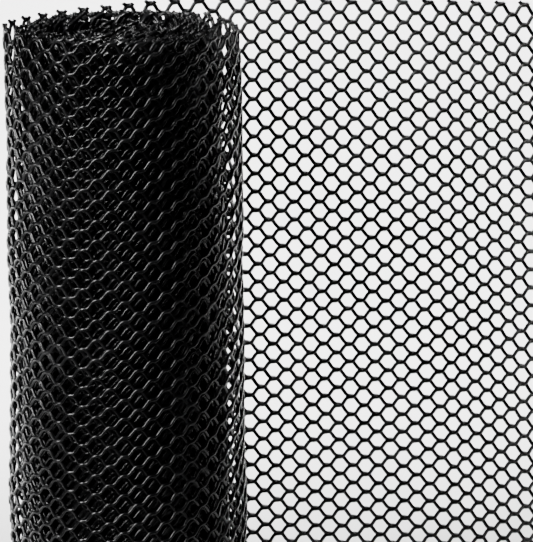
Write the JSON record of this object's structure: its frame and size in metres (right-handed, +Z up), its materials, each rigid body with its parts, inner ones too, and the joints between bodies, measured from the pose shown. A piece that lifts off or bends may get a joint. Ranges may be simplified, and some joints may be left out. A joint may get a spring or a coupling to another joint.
{
  "type": "roll of plastic chicken wire",
  "caption": "Roll of black hexagonal plastic mesh standing on end, hollow in the middle, with its loose outer turns led off to one side as a free standing sheet.",
  "frame": {"origin": "middle of the whole part's base, on the surface that it stands on", "axes": "+Z up along the roll, -Y towards the front, +X towards the free end of the net"},
  "size_m": [0.4429, 0.2124, 0.497],
  "materials": {
    "wound_net": "satin",
    "loose_net": "satin"
  },
  "bodies": {
    "root": {"wound_roll": "wound_net", "loose_end": "loose_net"}
  },
  "joints": []
}
